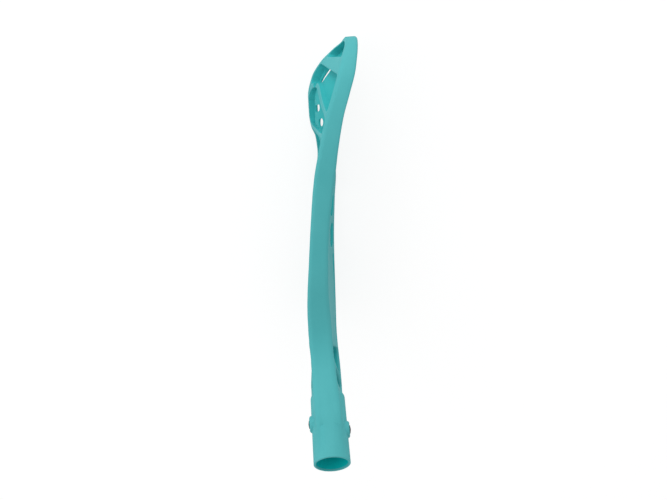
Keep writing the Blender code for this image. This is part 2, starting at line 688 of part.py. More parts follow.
def finish(item, surface):
    """Merge the doubled points that cutting leaves, then give the piece its surface."""
    work = bmesh.new()
    work.from_mesh(item.data)
    bmesh.ops.remove_doubles(work, verts=work.verts, dist=MERGE_DISTANCE)
    bmesh.ops.dissolve_degenerate(work, edges=work.edges, dist=MERGE_DISTANCE)
    work.to_mesh(item.data)
    work.free()
    item.data.materials.clear()
    item.data.materials.append(surface)
    item.data.shade_smooth()
    item.data.set_sharp_from_angle(angle=math.radians(30.0))


def threaded_shank():
    """A cylinder whose wall follows the thread's helix and which narrows to a point."""
    turns = THREAD_LENGTH / THREAD_PITCH
    rows = int(turns * THREAD_ROWS)
    work = bmesh.new()
    rings = []
    for row in range(rows + 1):
        height = -THREAD_LENGTH * row / rows
        tip = min(1.0, (THREAD_LENGTH + height) / POINT_LENGTH)
        ring = []
        for step in range(SCREW_STEPS):
            turn = step / SCREW_STEPS
            phase = (height / THREAD_PITCH + turn) % 1.0
            crest = max(0.0, 1.0 - THREAD_STEEPNESS * abs(phase - 0.5))
            radius = (CORE_RADIUS + (THREAD_RADIUS - CORE_RADIUS) * crest) * max(tip, POINT_BLUNTNESS)
            angle = 2.0 * math.pi * turn
            ring.append(work.verts.new((radius * math.cos(angle), radius * math.sin(angle), height)))
        rings.append(ring)
    for upper, lower in zip(rings, rings[1:]):
        for step in range(SCREW_STEPS):
            after = (step + 1) % SCREW_STEPS
            work.faces.new((upper[step], upper[after], lower[after], lower[step]))
    work.faces.new(rings[0])
    work.faces.new(rings[-1])
    return object_from(work, "shank")


def screw(name, side, surface):
    """A dark pan-headed screw with a cross recess. Its origin is on its joint's axis, under the head."""
    rim = HEAD_HEIGHT - HEAD_DOME
    root = CORE_RADIUS - SHANK_INSET
    profile = [(0.0, -SHANK_OVERLAP), (root, -SHANK_OVERLAP), (root, 0.0), (HEAD_RADIUS, 0.0),
               (HEAD_RADIUS, rim - HEAD_CHAMFER), (HEAD_RADIUS - HEAD_CHAMFER, rim), (0.0, HEAD_HEIGHT)]
    item = turned(name, profile, ROUND_STEPS // 2)
    boolean(item, threaded_shank(), "UNION")
    cross = bmesh.new()
    floor = HEAD_HEIGHT - CROSS_DEPTH
    for long_side, short_side in ((CROSS_SPAN, CROSS_WIDTH), (CROSS_WIDTH, CROSS_SPAN)):
        box = bmesh.ops.create_cube(cross, size=1.0)
        for vertex in box["verts"]:
            taper = 1.0 if vertex.co.z > 0 else CROSS_TAPER
            vertex.co.x *= long_side * taper
            vertex.co.y *= short_side * taper
            vertex.co.z = HEAD_HEIGHT + HEAD_DOME if vertex.co.z > 0 else floor
        boolean(item, object_from(cross, "cross_cutter"), "DIFFERENCE")
        cross = bmesh.new()
    cross.free()
    finish(item, surface)
    item.matrix_world = screw_matrix(side) @ Matrix.Translation((0.0, 0.0, head_seat()))
    return item


def stand_on_origin(items):
    """Shift the whole part so that the middle of its box's base is the origin."""
    bpy.context.view_layer.update()
    corners = [item.matrix_world @ vertex.co for item in items for vertex in item.data.vertices]
    low = Vector([min(corner[axis] for corner in corners) for axis in range(3)])
    high = Vector([max(corner[axis] for corner in corners) for axis in range(3)])
    shift = Vector(((low.x + high.x) / 2.0, (low.y + high.y) / 2.0, low.z))
    for item in items:
        item.matrix_world = Matrix.Translation(-shift) @ item.matrix_world
    print("shift", tuple(round(value, 6) for value in shift))
    for name, point in (("mouth", neck_point(0.0)), ("socket floor", neck_point(SOCKET_DEPTH)),
                        ("front screw", neck_point(FRONT_SCREW_FROM_MOUTH)),
                        ("back screw", neck_point(BACK_SCREW_FROM_MOUTH))):
        print(name, tuple(round(value, 6) for value in point - shift))


for old in list(bpy.data.objects):
    bpy.data.objects.remove(old, do_unlink=True)

steel = material("dark_steel", (0.035, 0.032, 0.03), 0.38, 0.9)
pieces = [blade_moulding(), screw("front_screw", 1, steel), screw("back_screw", -1, steel)]
stand_on_origin(pieces)
for piece in pieces:
    triangles = sum(len(face.vertices) - 2 for face in piece.data.polygons)
    print(piece.name, len(piece.data.vertices), "vertices", triangles, "triangles")
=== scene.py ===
import math

import bpy
from mathutils import Matrix, Vector
from mathutils.geometry import interpolate_bezier, intersect_line_line_2d


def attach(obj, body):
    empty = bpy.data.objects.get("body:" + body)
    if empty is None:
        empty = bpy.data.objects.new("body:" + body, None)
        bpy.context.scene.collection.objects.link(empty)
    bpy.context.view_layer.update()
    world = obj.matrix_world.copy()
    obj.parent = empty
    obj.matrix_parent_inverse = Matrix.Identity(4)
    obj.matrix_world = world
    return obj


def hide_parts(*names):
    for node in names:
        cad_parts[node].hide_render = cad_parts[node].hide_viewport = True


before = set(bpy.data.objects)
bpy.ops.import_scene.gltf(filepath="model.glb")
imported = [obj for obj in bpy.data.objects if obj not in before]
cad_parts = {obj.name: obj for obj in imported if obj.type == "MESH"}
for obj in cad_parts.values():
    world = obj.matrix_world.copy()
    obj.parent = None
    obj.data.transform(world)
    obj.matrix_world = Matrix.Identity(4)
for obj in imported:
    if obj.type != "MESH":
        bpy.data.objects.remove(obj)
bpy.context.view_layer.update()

# The blade moulding: rim, ribs, face, neck and socket are one shot of turquoise plastic from one mould.
# It starts as a flat plate, the rim's outline as a toolmaker draws it from the neck's foot. The next
# sections pocket it, slot it, bend it and join it to the neck.
MM = 0.001
BLADE_LENGTH = 241.0 * MM
BLADE_HEIGHT = 76.0 * MM
SHOULDER = (-75.0 * MM, 72.0 * MM)
TOE_TOP = (-165.0 * MM, BLADE_HEIGHT)
TOE_TIP = (-BLADE_LENGTH, 34.0 * MM)
TOE_SOLE = (-179.0 * MM, 1.0 * MM)
HEEL = (-45.0 * MM, 0.0)
# The neck's axis, and how far its top rim and its heel side lie from it
NECK_FOOT = Vector((0.0, 0.0, 40.0 * MM))
NECK_ANGLE = math.radians(52.0)
NECK_LENGTH = 112.0 * MM
NECK_RIM_SIDE = 13.4 * MM
NECK_HEEL_SIDE = 11.6 * MM
NECK_AXIS = Vector((math.cos(NECK_ANGLE), 0.0, math.sin(NECK_ANGLE)))
NECK_RIM_NORMAL = Vector((-NECK_AXIS.z, 0.0, NECK_AXIS.x))
# Where the outline's straight stretches on the neck begin and end, from the mouth's plane
STRIP_END_FROM_MOUTH = 28.5 * MM
RIM_BEND_FROM_MOUTH = 70.0 * MM
HEEL_BEND_FROM_MOUTH = 82.0 * MM
HEEL_STRIP_END_FROM_MOUTH = 52.0 * MM
STRIP_FADE_LENGTH = 6.0 * MM
STRIP_FADE_DROP = 4.6 * MM
# How far the outline's curves keep straight on either side of their points, and the slopes there
NECK_RIM_PULL = 38.0 * MM
SHOULDER_PULLS = (36.0 * MM, 30.0 * MM)
SHOULDER_SLOPE = -0.03
TOE_TOP_PULLS = (30.0 * MM, 46.0 * MM)
TOE_TIP_PULLS = (27.0 * MM, 20.0 * MM)
TOE_SOLE_PULLS = (34.0 * MM, 30.0 * MM)
TOE_SOLE_SLOPE = -0.044
HEEL_PULLS = (40.0 * MM, 40.0 * MM)
NECK_HEEL_PULL = 34.0 * MM
# The plate reaches this far to either side of its middle, and its edges are rounded
HALF_DEPTH = 7.0 * MM
RIM_ROUNDING = 3.0 * MM
RIM_ROUNDING_STEPS = 5
# A face lies in a plane if none of its points is further off it than this
SAME_PLANE = 0.001 * MM


def side_view(x, z):
    """A point or a direction in the plane of the side view."""
    return Vector((x, 0.0, z))


def neck_point(from_mouth, off_axis=0.0):
    """A point of the neck, by its distance from the mouth's plane and from the axis towards the top rim."""
    along = NECK_LENGTH - from_mouth
    return NECK_FOOT + along * NECK_AXIS + off_axis * NECK_RIM_NORMAL


def stretch(start, leave, arrive, end, steps=38):
    """One curved stretch of the outline, without its first point."""
    return interpolate_bezier(start, start + leave, end + arrive, end, steps)[1:]


def rim_outline():
    """The rim's outer line, from the neck along the top, round the toe and back along the sole."""
    rim_top = neck_point(STRIP_END_FROM_MOUTH, NECK_RIM_SIDE)
    rim_bend = neck_point(RIM_BEND_FROM_MOUTH, NECK_RIM_SIDE)
    heel_bend = neck_point(HEEL_BEND_FROM_MOUTH, -NECK_HEEL_SIDE)
    heel_top = neck_point(HEEL_STRIP_END_FROM_MOUTH, -NECK_HEEL_SIDE)
    rim_fade = STRIP_END_FROM_MOUTH - STRIP_FADE_LENGTH
    heel_fade = HEEL_STRIP_END_FROM_MOUTH - STRIP_FADE_LENGTH
    to_heel = side_view(1.0, 0.0)
    up = side_view(0.0, 1.0)
    at_shoulder = side_view(1.0, SHOULDER_SLOPE)
    at_toe_sole = side_view(1.0, TOE_SOLE_SLOPE)
    shoulder = side_view(*SHOULDER)
    toe_top = side_view(*TOE_TOP)
    toe_tip = side_view(*TOE_TIP)
    toe_sole = side_view(*TOE_SOLE)
    heel = side_view(*HEEL)
    points = [neck_point(rim_fade, NECK_RIM_SIDE - STRIP_FADE_DROP), rim_top]
    points += [rim_top.lerp(rim_bend, 0.5), rim_bend]
    points += stretch(rim_bend, -NECK_RIM_PULL * NECK_AXIS, SHOULDER_PULLS[0] * at_shoulder, shoulder)
    points += stretch(shoulder, -SHOULDER_PULLS[1] * at_shoulder, TOE_TOP_PULLS[0] * to_heel, toe_top)
    points += stretch(toe_top, -TOE_TOP_PULLS[1] * to_heel, TOE_TIP_PULLS[0] * up, toe_tip)
    points += stretch(toe_tip, -TOE_TIP_PULLS[1] * up, -TOE_SOLE_PULLS[0] * at_toe_sole, toe_sole)
    points += stretch(toe_sole, TOE_SOLE_PULLS[1] * at_toe_sole, -HEEL_PULLS[0] * to_heel, heel)
    points += stretch(heel, HEEL_PULLS[1] * to_heel, -NECK_HEEL_PULL * NECK_AXIS, heel_bend)
    points += [heel_bend.lerp(heel_top, 0.5), heel_top]
    points += [neck_point(heel_fade, STRIP_FADE_DROP - NECK_HEEL_SIDE), neck_point(rim_fade)]
    return points


def moved_in(polygon, distance):
    """A closed line moved inwards by the same distance everywhere."""
    moved = []
    for index, point in enumerate(polygon):
        into = (point - polygon[index - 1]).normalized()
        out = (polygon[(index + 1) % len(polygon)] - point).normalized()
        normal_in = Vector((-into.z, 0.0, into.x))
        normal_out = Vector((-out.z, 0.0, out.x))
        moved.append(point + distance * (normal_in + normal_out) / (1.0 + normal_in.dot(normal_out)))
    return moved


def only(item):
    """Select one object and nothing else."""
    bpy.ops.object.select_all(action="DESELECT")
    item.select_set(True)
    bpy.context.view_layer.objects.active = item


def pick_face_at(height):
    """Select the one face that lies wholly in a plane across Y."""
    bpy.ops.mesh.select_all(action="DESELECT")
    bpy.ops.object.mode_set(mode="OBJECT")
    mesh = bpy.context.object.data
    for face in mesh.polygons:
        face.select = all(abs(mesh.vertices[v].co.y - height) < SAME_PLANE for v in face.vertices)
    bpy.ops.object.mode_set(mode="EDIT")
    bpy.ops.mesh.select_mode(type="FACE")


def slab(name, polygon, low, high, low_steps=(), high_steps=()):
    """A flat slab over a closed line, whose two faces are then inset step by step as (inwards, outwards)."""
    mesh = bpy.data.meshes.new(name)
    mesh.from_pydata([(p.x, low, p.z) for p in polygon], [], [tuple(range(len(polygon)))])
    item = bpy.data.objects.new(name, mesh)
    bpy.context.scene.collection.objects.link(item)
    only(item)
    bpy.ops.object.mode_set(mode="EDIT")
    bpy.ops.mesh.select_all(action="SELECT")
    bpy.ops.mesh.extrude_region_move(TRANSFORM_OT_translate={"value": (0.0, high - low, 0.0)})
    bpy.ops.mesh.select_all(action="SELECT")
    bpy.ops.mesh.normals_make_consistent(inside=False)
    for height, steps in ((low, low_steps), (high, high_steps)):
        if steps:
            pick_face_at(height)
            for inwards, outwards in steps:
                bpy.ops.mesh.inset(thickness=inwards, depth=outwards, use_even_offset=True)
    bpy.ops.object.mode_set(mode="OBJECT")
    return item


def quarter(radius, count, first):
    """Inset steps along a quarter of a circle: first along the wall, or first across the face."""
    steps = []
    for step in range(count):
        a = math.pi / 2.0 * step / count
        b = math.pi / 2.0 * (step + 1) / count
        turn = radius * (math.cos(a) - math.cos(b))
        rise = radius * (math.sin(b) - math.sin(a))
        steps.append((turn, rise) if first == "wall" else (rise, turn))
    return steps


def node(material, kind, **sockets):
    """A shader node with some of its sockets set."""
    made = material.node_tree.nodes.new(kind)
    for name, value in sockets.items():
        made.inputs[name.replace("_", " ")].default_value = value
    return made


def grained(name, colours, roughness, shine, grain_scale, grain_depth):
    """A surface whose colour and roughness drift in soft clouds, with a fine grain in relief."""
    refraction = 1.49
    cloud_edges = (0.3, 0.7)
    material = bpy.data.materials.new(name)
    material.use_nodes = True
    link = material.node_tree.links.new
    shader = material.node_tree.nodes["Principled BSDF"]
    shader.inputs["IOR"].default_value = refraction
    shader.inputs["Specular IOR Level"].default_value = shine
    where = material.node_tree.nodes.new("ShaderNodeTexCoord")
    clouds = node(material, "ShaderNodeTexNoise", Scale=38.0, Detail=3.0, Roughness=0.55)
    link(where.outputs["Object"], clouds.inputs["Vector"])
    dye = material.node_tree.nodes.new("ShaderNodeValToRGB")
    for element, position, colour in zip(dye.color_ramp.elements, cloud_edges, colours):
        element.position = position
        element.color = (*colour, 1.0)
    link(clouds.outputs["Fac"], dye.inputs["Fac"])
    link(dye.outputs["Color"], shader.inputs["Base Color"])
    sheen = node(material, "ShaderNodeMapRange", To_Min=roughness[0], To_Max=roughness[1])
    link(clouds.outputs["Fac"], sheen.inputs["Value"])
    link(sheen.outputs["Result"], shader.inputs["Roughness"])
    grain = node(material, "ShaderNodeTexNoise", Scale=grain_scale, Detail=2.0, Roughness=0.5)
    link(where.outputs["Object"], grain.inputs["Vector"])
    relief = node(material, "ShaderNodeBump", Strength=0.12, Distance=grain_depth)
    link(grain.outputs["Fac"], relief.inputs["Height"])
    link(relief.outputs["Normal"], shader.inputs["Normal"])
    return material


# The outside has the mould's fine grain. The pockets and slots have less grain and less shine, and a colour
# with less red that is painted shade: deeper and more saturated, as hollows look where little light reaches.
SATIN = grained("turquoise_plastic_satin", colours=((0.060, 0.386, 0.404), (0.070, 0.410, 0.428)),
                roughness=(0.64, 0.74), shine=0.38, grain_scale=1400.0, grain_depth=0.06 * MM)
SMOOTH_PAINTED_SHADE = grained("turquoise_plastic_smooth_painted_shade", colours=((0.022, 0.388, 0.401), (0.028, 0.412, 0.425)),
                 roughness=(0.64, 0.74), shine=0.2, grain_scale=2200.0, grain_depth=0.03 * MM)


def cut(item, others, operation="DIFFERENCE", finish_or_shade=None):
    """Join some solids and take them from another, or add them to it. The new faces get the given finish,
    which for the pockets, slots and bore is a painted shade colour.
    """
    for other in others:
        other.data.materials.append(finish_or_shade or SATIN)
    only(others[0])
    for other in others:
        other.select_set(True)
    if len(others) > 1:
        bpy.ops.object.join()
    only(item)
    modifier = item.modifiers.new("Cut", "BOOLEAN")
    modifier.operation = operation
    modifier.solver = "EXACT"
    modifier.material_mode = "TRANSFER"
    modifier.object = others[0]
    bpy.ops.object.modifier_apply(modifier="Cut")
    bpy.data.objects.remove(others[0])


RIM = rim_outline()
edge = quarter(RIM_ROUNDING, RIM_ROUNDING_STEPS, "wall")
moulding = slab("moulding", RIM, RIM_ROUNDING - HALF_DEPTH, HALF_DEPTH - RIM_ROUNDING, edge, edge)
moulding.data.materials.append(SATIN)

# The pockets between the ribs, open to the back on the blade and to both sides on the neck. The mould's
# cores leave a thin face in front of them, with small fillets at the floor and soft lips at the mouth.
RIM_THICKNESS = 3.3 * MM
RIB_THICKNESS = 3.1 * MM
WEB_THICKNESS = 1.6 * MM
NECK_POCKET_DEPTH = 5.4 * MM
POCKET_CORNER = 4.0 * MM
LIP = 1.2 * MM
LIP_STEPS = 3
FILLET = 0.9 * MM
FILLET_STEPS = 3
# A cutter starts just off the plate's face and reaches well past it
OFF_FACE = 0.05 * MM
OVER = 6.0 * MM
# An outline's corner is rounded where it turns by more than this, and takes up to these shares of its sides
SHARP_CORNER = math.radians(28.0)
SHARED_EDGE = 0.48
WHOLE_EDGE = 0.95
CROWDED_REACH = 1.35
# Ribs of the blade, as X in mm at the sole and at the top. The first one widens upwards, so its toe side
# has a slope of its own.
RIBS = ((-218.6, -221.2), (-204, -190), (-168, -176), (-142, -130), (-115, -122), (-90, -80), (-63, -66),
        (-38, -40), (-16.5, -12.5))
TOE_RIB_TOE_SIDE = (-218.2, -233.2)
# Ribs of the neck, as the distance from the mouth in mm and the lean in degrees
NECK_RIBS = ((103.0, 24.0), (76.0, -24.0), (62.0, 0.0))
# The second rib is an arch that bends down into the sole's rim. Its two sides, as (X, Z) in mm.
ARCH_TOE_SIDE = ((-199, 0), (-200.6, 9), (-203.2, 15.5), (-205.2, 22.5), (-205.2, 29.5), (-202.6, 37),
                 (-198.8, 46), (-195, 58), (-191.6, 74), (-190.8, 82))
ARCH_HEEL_SIDE = ((-186.4, 82), (-187.6, 73), (-191.2, 58), (-194.8, 46), (-198.4, 36), (-201.2, 29),
                  (-201.9, 23.5), (-200.6, 18), (-197, 12), (-191, 7.5), (-184, 2.5))


def clipped(polygon, point, normal):
    """The part of a closed line on the side of a cut that the normal points to."""
    kept = []
    for index, start in enumerate(polygon):
        end = polygon[(index + 1) % len(polygon)]
        start_side = (start - point).dot(normal)
        end_side = (end - point).dot(normal)
        if start_side >= 0.0:
            kept.append(start)
        if start_side * end_side < 0.0:
            kept.append(start.lerp(end, start_side / (start_side - end_side)))
    return kept


def rounded(polygon, radius, arc_steps=8):
    """A closed line with arcs in place of its sharp corners, and with no points crowded beside them."""
    count = len(polygon)

    def turn(index):
        into = (polygon[index] - polygon[index - 1]).normalized()
        out = (polygon[(index + 1) % count] - polygon[index]).normalized()
        return math.acos(max(-1.0, min(1.0, into.dot(out))))

    corners = [index for index in range(count) if turn(index) > SHARP_CORNER]
    crowded = CROWDED_REACH * radius
    spaced = []
    for index, point in enumerate(polygon):
        near = any((point - polygon[corner]).length < crowded for corner in corners if corner != index)
        if index in corners or not near:
            spaced.append((point, index in corners))
    result = []
    for index, (point, is_corner) in enumerate(spaced):
        if not is_corner:
            result.append(point)
            continue
        before, before_is_corner = spaced[index - 1]
        after, after_is_corner = spaced[(index + 1) % len(spaced)]
        into = point - before
        out = after - point
        limit = min(into.length * (SHARED_EDGE if before_is_corner else WHOLE_EDGE),
                    out.length * (SHARED_EDGE if after_is_corner else WHOLE_EDGE))
        reach = min(radius * math.tan(into.angle(out) / 2.0), limit)
        start = point - reach * into.normalized()
        end = point + reach * out.normalized()
        for step in range(arc_steps + 1):
            t = step / arc_steps
            result.append((1 - t) ** 2 * start + 2 * t * (1 - t) * point + t * t * end)
    return result


def eased(points, passes=3):
    """A bent line with its corners cut again and again until it is a smooth curve."""
    line = [side_view(x * MM, z * MM) for x, z in points]
    for _ in range(passes):
        finer = [line[0]]
        for start, end in zip(line, line[1:]):
            finer += [start.lerp(end, 0.25), start.lerp(end, 0.75)]
        line = finer + [line[-1]]
    return line


def cut_along(polygon, line):
    """The part of a closed line to the left of a curve that enters it and leaves it again."""
    crossings = []
    for place, (start, end) in enumerate(zip(line, line[1:])):
        for index, corner in enumerate(polygon):
            after = polygon[(index + 1) % len(polygon)]
            met = intersect_line_line_2d(start.xz, end.xz, corner.xz, after.xz)
            if met:
                crossings.append((place, index, side_view(*met)))
    (enters, first_edge, first), (leaves, last_edge, last) = crossings[0], crossings[-1]
    around = [polygon[(last_edge + 1 + step) % len(polygon)]
              for step in range((first_edge - last_edge) % len(polygon))]
    return [first] + line[enters + 1:leaves + 1] + [last] + around


def rib_line(sole_x, top_x):
    """A point on a rib's middle line, and the direction across it towards the heel."""
    foot = side_view(sole_x * MM, 0.0)
    run = (side_view(top_x * MM, BLADE_HEIGHT) - foot).normalized()
    return foot, Vector((run.z, 0.0, -run.x))


rib_lines = [rib_line(*rib) for rib in RIBS]
for from_mouth, lean in NECK_RIBS:
    rib_lines.append((neck_point(from_mouth * MM), Matrix.Rotation(math.radians(lean), 3, "Y") @ NECK_AXIS))

inside_rim = moved_in(RIM, RIM_THICKNESS)
cutters = []
for index, (point, across) in enumerate(rib_lines):
    pocket = inside_rim
    if index == 0:
        point, across = rib_line(*TOE_RIB_TOE_SIDE)
    if index == 1:
        pocket = cut_along(pocket, eased(ARCH_TOE_SIDE))
    else:
        pocket = clipped(pocket, point - RIB_THICKNESS / 2.0 * across, -across)
    if index == 2:
        pocket = cut_along(pocket, eased(ARCH_HEEL_SIDE))
    elif index > 0:
        before, before_across = rib_lines[index - 1]
        pocket = clipped(pocket, before + RIB_THICKNESS / 2.0 * before_across, before_across)
    pocket = rounded(pocket, POCKET_CORNER)
    mouth = moved_in(pocket, -LIP)
    on_blade = index <= len(RIBS)
    depth = 2.0 * HALF_DEPTH - WEB_THICKNESS if on_blade else NECK_POCKET_DEPTH
    steps = quarter(LIP, LIP_STEPS, "face")
    steps += [(0.0, depth - LIP - FILLET + OFF_FACE)]
    steps += quarter(FILLET, FILLET_STEPS, "wall")
    cutters.append(slab("pocket", mouth, -HALF_DEPTH - OVER, -HALF_DEPTH - OFF_FACE, (), steps))
    if not on_blade:
        cutters.append(slab("pocket", mouth, HALF_DEPTH + OFF_FACE, HALF_DEPTH + OVER, steps, ()))
# The pockets' walls and floors take the painted shade colour
cut(moulding, cutters, finish_or_shade=SMOOTH_PAINTED_SHADE)
# The lips belong to the outside and keep its colour, without the pockets' painted shade
for face in moulding.data.polygons:
    if abs(face.center.y) > HALF_DEPTH - LIP:
        face.material_index = 0

# The slots through the thin face, which save weight and let the air through, and the shallow groove beside
# the sole on the heel's flat panel. The mould forms them too, with their edges on the face softened.
# Slots, as X, Z, length and width in mm and the slope in degrees
SLOTS = ((-209, 21.5, 18, 7.0, -22), (-186.5, 29, 20, 5.2, 106), (-179.0, 43.8, 11, 5.9, 104),
         (-155, 11, 17, 6.0, 0), (-128, 11, 17, 7.0, 0), (-102.5, 13, 19, 11.0, 0), (-76.5, 13, 20, 11.0, 0),
         (-157, 62, 18, 6.0, 0), (-101, 60, 20, 6.0, 0), (-74, 58, 8, 5.0, 0))
SLOT_LIP = 0.45 * MM
SLOT_LIP_STEPS = 3
GROOVE_OFF_RIM = 8.0 * MM
GROOVE_START_X = -59.0 * MM
GROOVE_WIDTH = 3.4 * MM
GROOVE_DEPTH = 1.4 * MM
GROOVE_LIP_STEPS = 2


def slot_line(x, z, length, width, slope, end_steps=12):
    """A straight slot's outline with round ends."""
    points = []
    reach = (length - width) / 2.0
    turned_by = Matrix.Rotation(-math.radians(slope), 3, "Y")
    for end in (1.0, -1.0):
        for step in range(end_steps + 1):
            angle = math.pi * (step / end_steps - 0.5)
            around = side_view(reach + width / 2.0 * math.cos(angle), width / 2.0 * math.sin(angle))
            points.append(side_view(x, z) + end * (turned_by @ around))
    return points


cutters = []
for x, z, length, width, slope in SLOTS:
    line = moved_in(slot_line(x * MM, z * MM, length * MM, width * MM, slope), -SLOT_LIP)
    steps = quarter(SLOT_LIP, SLOT_LIP_STEPS, "face") + [(0.0, 2.0 * HALF_DEPTH + OVER)]
    cutters.append(slab("slot", line, HALF_DEPTH + OFF_FACE, HALF_DEPTH + OVER, steps, ()))
beside_sole = moved_in(RIM, GROOVE_OFF_RIM)[len(RIM) // 2:]
groove_line = [point for point in beside_sole if point.x > GROOVE_START_X and point.z < NECK_FOOT.z]
left = []
right = []
for index, point in enumerate(groove_line):
    run = groove_line[min(index + 1, len(groove_line) - 1)] - groove_line[max(index - 1, 0)]
    across = GROOVE_WIDTH / 2.0 * Vector((-run.z, 0.0, run.x)).normalized()
    left.append(point + across)
    right.append(point - across)
groove_mouth = moved_in(right + left[::-1], -SLOT_LIP)
steps = quarter(SLOT_LIP, GROOVE_LIP_STEPS, "face")
steps += [(0.0, GROOVE_DEPTH - 2.0 * SLOT_LIP)]
steps += quarter(SLOT_LIP, GROOVE_LIP_STEPS, "wall")
cutters.append(slab("groove", groove_mouth, HALF_DEPTH + OFF_FACE, HALF_DEPTH + OVER, steps, ()))
# The slots' walls and the groove take the painted shade colour
cut(moulding, cutters, finish_or_shade=SMOOTH_PAINTED_SHADE)

# The blade's bend: the mould hollows the face like a shallow spoon and hooks the toe to the forehand side.
# Stations along the blade give the forehand and backhand edges of its top rim and its sole, as (X, Y) in mm.
TOP_FRONT = ((-241, 44.3), (-224, 41.9), (-206, 35.9), (-189, 29.9), (-166, 24.3), (-150, 21.0), (-140, 18.9),
             (-107, 12.9), (-74, 9.2), (-35, 7.2), (-5, 7.4), (10, 7.7), (22, 8.5), (32, 9.8), (47, 10.3))
TOP_BACK = ((-241, 35.6), (-234, 32.4), (-224, 28.8), (-206, 21.9), (-189, 15.4), (-166, 8.6), (-143, 2.8),
            (-107, -2.6), (-74, -6.6), (-44, -10.2), (-25, -11.3), (-5, -11.4), (8, -11.0), (28, -10.9),
            (36, -10.6), (47, -10.0))
SOLE_FRONT = ((-241, 44.3), (-229, 34.8), (-218, 23.8), (-206, 16.2), (-190, 10.5), (-175, 10.3),
              (-167, 11.4), (-157, 16.6), (-142, 21.0), (-128, 21.2), (-105, 18.7), (-67, 15.3), (-30, 13.5),
              (30, 12.3), (44, 12.0), (56, 10.4))
SOLE_BACK = ((-241, 33.2), (-236, 31.8), (-229, 24.6), (-218, 13.8), (-206, 6.4), (-190, 2.4), (-175, 2.2),
             (-165, 3.4), (-157, 6.2), (-144, 7.0), (-112, 5.6), (-67, 0.4), (-30, -6.4), (0, -10.8),
             (20, -11.4), (32, -12.9), (44, -13.2), (56, -12.0))
# How far the middle of the face lies behind the line between its two edges, deepest half way up
BOWL = ((-241, 0.0), (-217, 4.0), (-195, 7.4), (-170, 7.4), (-150, 6.0), (-110, 4.0), (-60, 2.5), (0, 0.0))
BOWL_PEAK = 4.0
# The bend fades out over this stretch of the neck
NECK_BLEND_BEFORE_FOOT = 25.0 * MM
NECK_BLEND_LENGTH = 55.0 * MM
# How finely the plate is divided before it is bent
BEND_STEP = 2.5 * MM
BEND_PAST_FOOT = 36.0 * MM
BEND_LEVELS = 22
ON_THE_CUT = 0.01 * MM
CUT_MERGE = 0.02 * MM


def station_curve(points):
    """A function through the (X, Y) stations that has no overshoot between them."""
    rises = [(b[1] - a[1]) / (b[0] - a[0]) for a, b in zip(points, points[1:])]
    slopes = [0.0]
    for before, after in zip(rises, rises[1:]):
        slopes.append(2.0 * before * after / (before + after) if before * after > 0.0 else 0.0)
    slopes.append(0.0)

    def at(x):
        place = min(max(x / MM, points[0][0]), points[-1][0])
        index = next(i for i, point in enumerate(points[1:]) if place <= point[0])
        width = points[index + 1][0] - points[index][0]
        t = (place - points[index][0]) / width
        value = ((1 + 2 * t) * (1 - t) ** 2 * points[index][1] + t * (1 - t) ** 2 * width * slopes[index]
                 + t * t * (3 - 2 * t) * points[index + 1][1] + t * t * (t - 1) * width * slopes[index + 1])
        return value * MM

    return at


top_front = station_curve(TOP_FRONT)
top_back = station_curve(TOP_BACK)
sole_front = station_curve(SOLE_FRONT)
sole_back = station_curve(SOLE_BACK)
bowl_depth = station_curve(BOWL)


def rim_heights(x):
    """The heights of the sole and of the top rim at one X, as far as the heel's shoulder."""
    if x > SHOULDER[0]:
        return 0.0, SHOULDER[1]
    crossings = []
    for start, end in zip(RIM, RIM[1:]):
        if (start.x - x) * (end.x - x) < 0.0:
            crossings.append(start.lerp(end, (x - start.x) / (end.x - start.x)).z)
    # The outline has no height at the toe's very tip, so a millimetre stands in for it
    if len(crossings) < 2:
        return TOE_TIP[1], TOE_TIP[1] + MM
    return min(crossings), max(crossings)


def hooked(point):
    """Where a point of the flat moulding lies once the face is hollowed and the toe is hooked."""
    along = ((point - NECK_FOOT).dot(NECK_AXIS) + NECK_BLEND_BEFORE_FOOT) / NECK_BLEND_LENGTH
    along = min(max(along, 0.0), 1.0)
    neck_weight = along * along * (3.0 - 2.0 * along)
    low, high = rim_heights(point.x)
    on_blade = min(max((point.z - low) / (high - low), 0.0), 1.0)
    off_axis = (point - NECK_FOOT).dot(NECK_RIM_NORMAL)
    on_neck = min(max((off_axis + NECK_HEEL_SIDE) / (NECK_HEEL_SIDE + NECK_RIM_SIDE), 0.0), 1.0)
    share = on_blade + (on_neck - on_blade) * neck_weight
    front = sole_front(point.x) * (1 - share) + top_front(point.x) * share
    back = sole_back(point.x) * (1 - share) + top_back(point.x) * share
    bowl = BOWL_PEAK * share * (1 - share) * bowl_depth(point.x)
    depth = front - bowl - back
    into = HALF_DEPTH - point.y
    even = into * depth / (2.0 * HALF_DEPTH)
    behind = into
    if into > WEB_THICKNESS:
        widened = (depth - WEB_THICKNESS) / (2.0 * HALF_DEPTH - WEB_THICKNESS)
        behind += (into - WEB_THICKNESS) * (widened - 1.0)
    behind += (even - behind) * neck_weight
    return Vector((point.x, front - bowl - behind, point.z))


cuts = []
for step in range(1, int((BLADE_LENGTH + BEND_PAST_FOOT) / BEND_STEP)):
    cuts.append(((-BLADE_LENGTH + BEND_STEP * step, 0, 0), (1, 0, 0)))
for level in range(1, BEND_LEVELS):
    cuts.append(((0, 0, BLADE_HEIGHT * level / BEND_LEVELS), (0, 0, 1)))
only(moulding)
bpy.ops.object.mode_set(mode="EDIT")
for point, normal in cuts:
    bpy.ops.mesh.select_all(action="SELECT")
    bpy.ops.mesh.bisect(plane_co=point, plane_no=normal, threshold=ON_THE_CUT)
bpy.ops.mesh.select_all(action="SELECT")
bpy.ops.mesh.remove_doubles(threshold=CUT_MERGE)
bpy.ops.mesh.quads_convert_to_tris()
bpy.ops.object.mode_set(mode="OBJECT")
for vertex in moulding.data.vertices:
    vertex.co = hooked(vertex.co)

